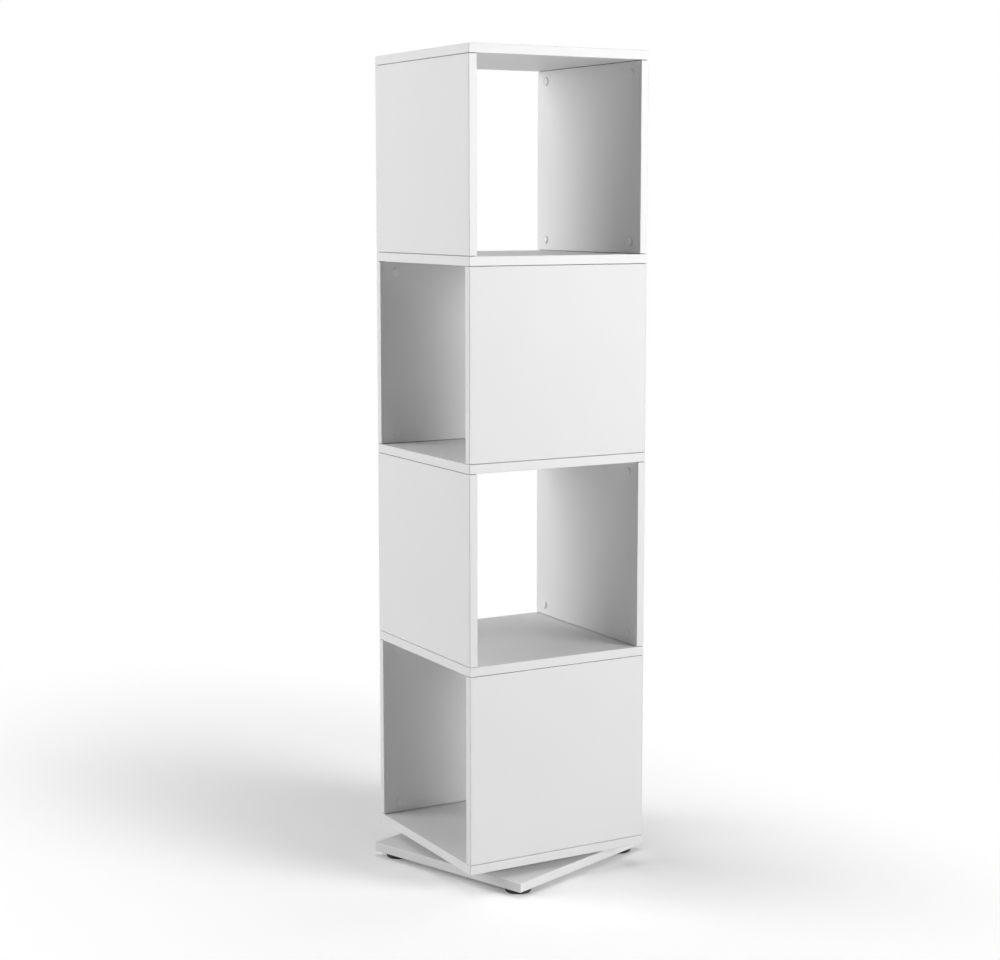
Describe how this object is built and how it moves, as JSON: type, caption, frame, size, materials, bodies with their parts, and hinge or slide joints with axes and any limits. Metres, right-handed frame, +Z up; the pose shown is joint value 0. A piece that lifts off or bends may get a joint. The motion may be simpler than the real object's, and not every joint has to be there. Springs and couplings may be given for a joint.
{
  "type": "revolving bookcase",
  "caption": "Tall square bookcase tower whose open compartments alternate direction, turning without limit on a low base plate with glides.",
  "frame": {"origin": "on the floor, on the axis that the column turns about, under the centre of the base", "axes": "+Z up along the turning axis. X and Y square to the column's faces at rest: -Y is the front, -X the left side. The base stands turned 20 degrees anticlockwise under the column, seen from above"},
  "size_m": [0.4432, 0.4432, 1.439],
  "materials": {
    "white_board": "white melamine-faced chipboard, satin",
    "white_plastic": "white moulded cover",
    "black_plastic": "black moulded plastic",
    "zinc_steel": "zinc-plated pressed steel",
    "ball_steel": "plain steel"
  },
  "bodies": {
    "base": {"base_plate": "white_board", "glides": "black_plastic", "turntable_lower_plate": "zinc_steel"},
    "ball_ring": {"turntable_ball_ring": "ball_steel"},
    "column": {"bottom_board": "white_board", "shelf_board_1": "white_board", "shelf_board_2": "white_board", "shelf_board_3": "white_board", "top_board": "white_board", "front_panel_1": "white_board", "back_panel_1": "white_board", "left_panel_2": "white_board", "right_panel_2": "white_board", "front_panel_3": "white_board", "back_panel_3": "white_board", "left_panel_4": "white_board", "right_panel_4": "white_board", "cam_locks_front_1": "white_plastic", "cam_locks_back_1": "white_plastic", "cam_locks_left_2": "white_plastic", "cam_locks_right_2": "white_plastic", "cam_locks_front_3": "white_plastic", "cam_locks_back_3": "white_plastic", "cam_locks_left_4": "white_plastic", "cam_locks_right_4": "white_plastic", "turntable_upper_plate": "zinc_steel"}
  },
  "joints": [
    {"name": "column_turn", "type": "hinge", "parent": "base", "child": "column", "pos_m": [0, 0, 0.039], "axis": [0, 0, 1], "continuous": true},
    {"name": "ball_ring_turn", "type": "hinge", "parent": "base", "child": "ball_ring", "pos_m": [0, 0, 0.0325], "axis": [0, 0, 1], "continuous": true}
  ],
  "couplings": [
    {"joint": "ball_ring_turn", "follows": "column_turn", "ratio": 0.5}
  ]
}
